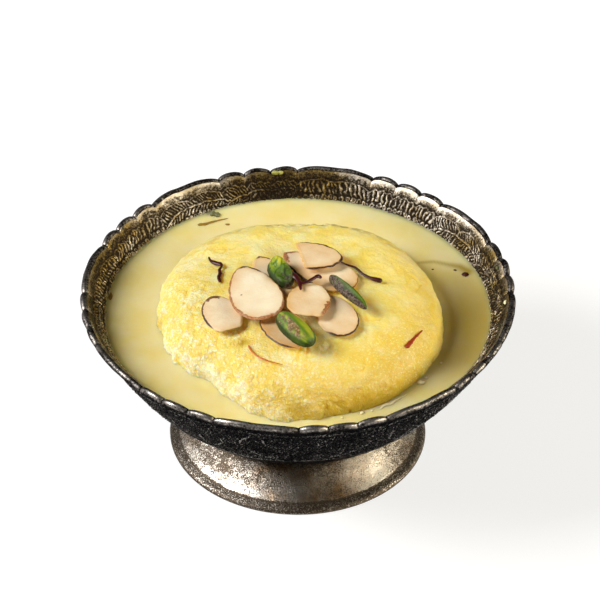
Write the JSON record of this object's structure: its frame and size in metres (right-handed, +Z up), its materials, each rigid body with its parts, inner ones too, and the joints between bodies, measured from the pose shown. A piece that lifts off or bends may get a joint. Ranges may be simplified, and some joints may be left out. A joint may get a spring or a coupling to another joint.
{
  "type": "rasmalai in a footed silver dessert bowl",
  "caption": "One soft domed chenna patty standing in pale saffron milk, topped with almond slices and pistachio, in a footed silver bowl with a scalloped rim and embossed wall.",
  "frame": {"origin": "middle of the foot's base ring, on the surface the bowl stands on", "axes": "+Z up through the bowl's axis, -Y towards the viewer, +X to the viewer's right"},
  "size_m": [0.1024, 0.1024, 0.0529],
  "materials": {
    "silver": "tarnished embossed silver plate, dark in the recesses",
    "milk": "opaque pale saffron milk, smooth and wet",
    "chenna": "spongy saffron yellow curd cheese, moist with small wet highlights",
    "almond": "cut almond flesh with a thin brown skin round the edge",
    "pistachio": "green kernel with patches of purple brown skin",
    "saffron": "dried dark red threads, orange where they have bled"
  },
  "bodies": {
    "root": {"bowl": "silver", "foot": "silver", "milk": "milk", "chenna_patty": "chenna", "almond_slice_1": "almond", "almond_slice_2": "almond", "almond_slice_3": "almond", "almond_slice_4": "almond", "almond_slice_5": "almond", "almond_slice_6": "almond", "almond_slice_7": "almond", "almond_slice_8": "almond", "pistachio_half_1": "pistachio", "pistachio_half_2": "pistachio", "pistachio_sliver": "pistachio"}
  },
  "joints": []
}
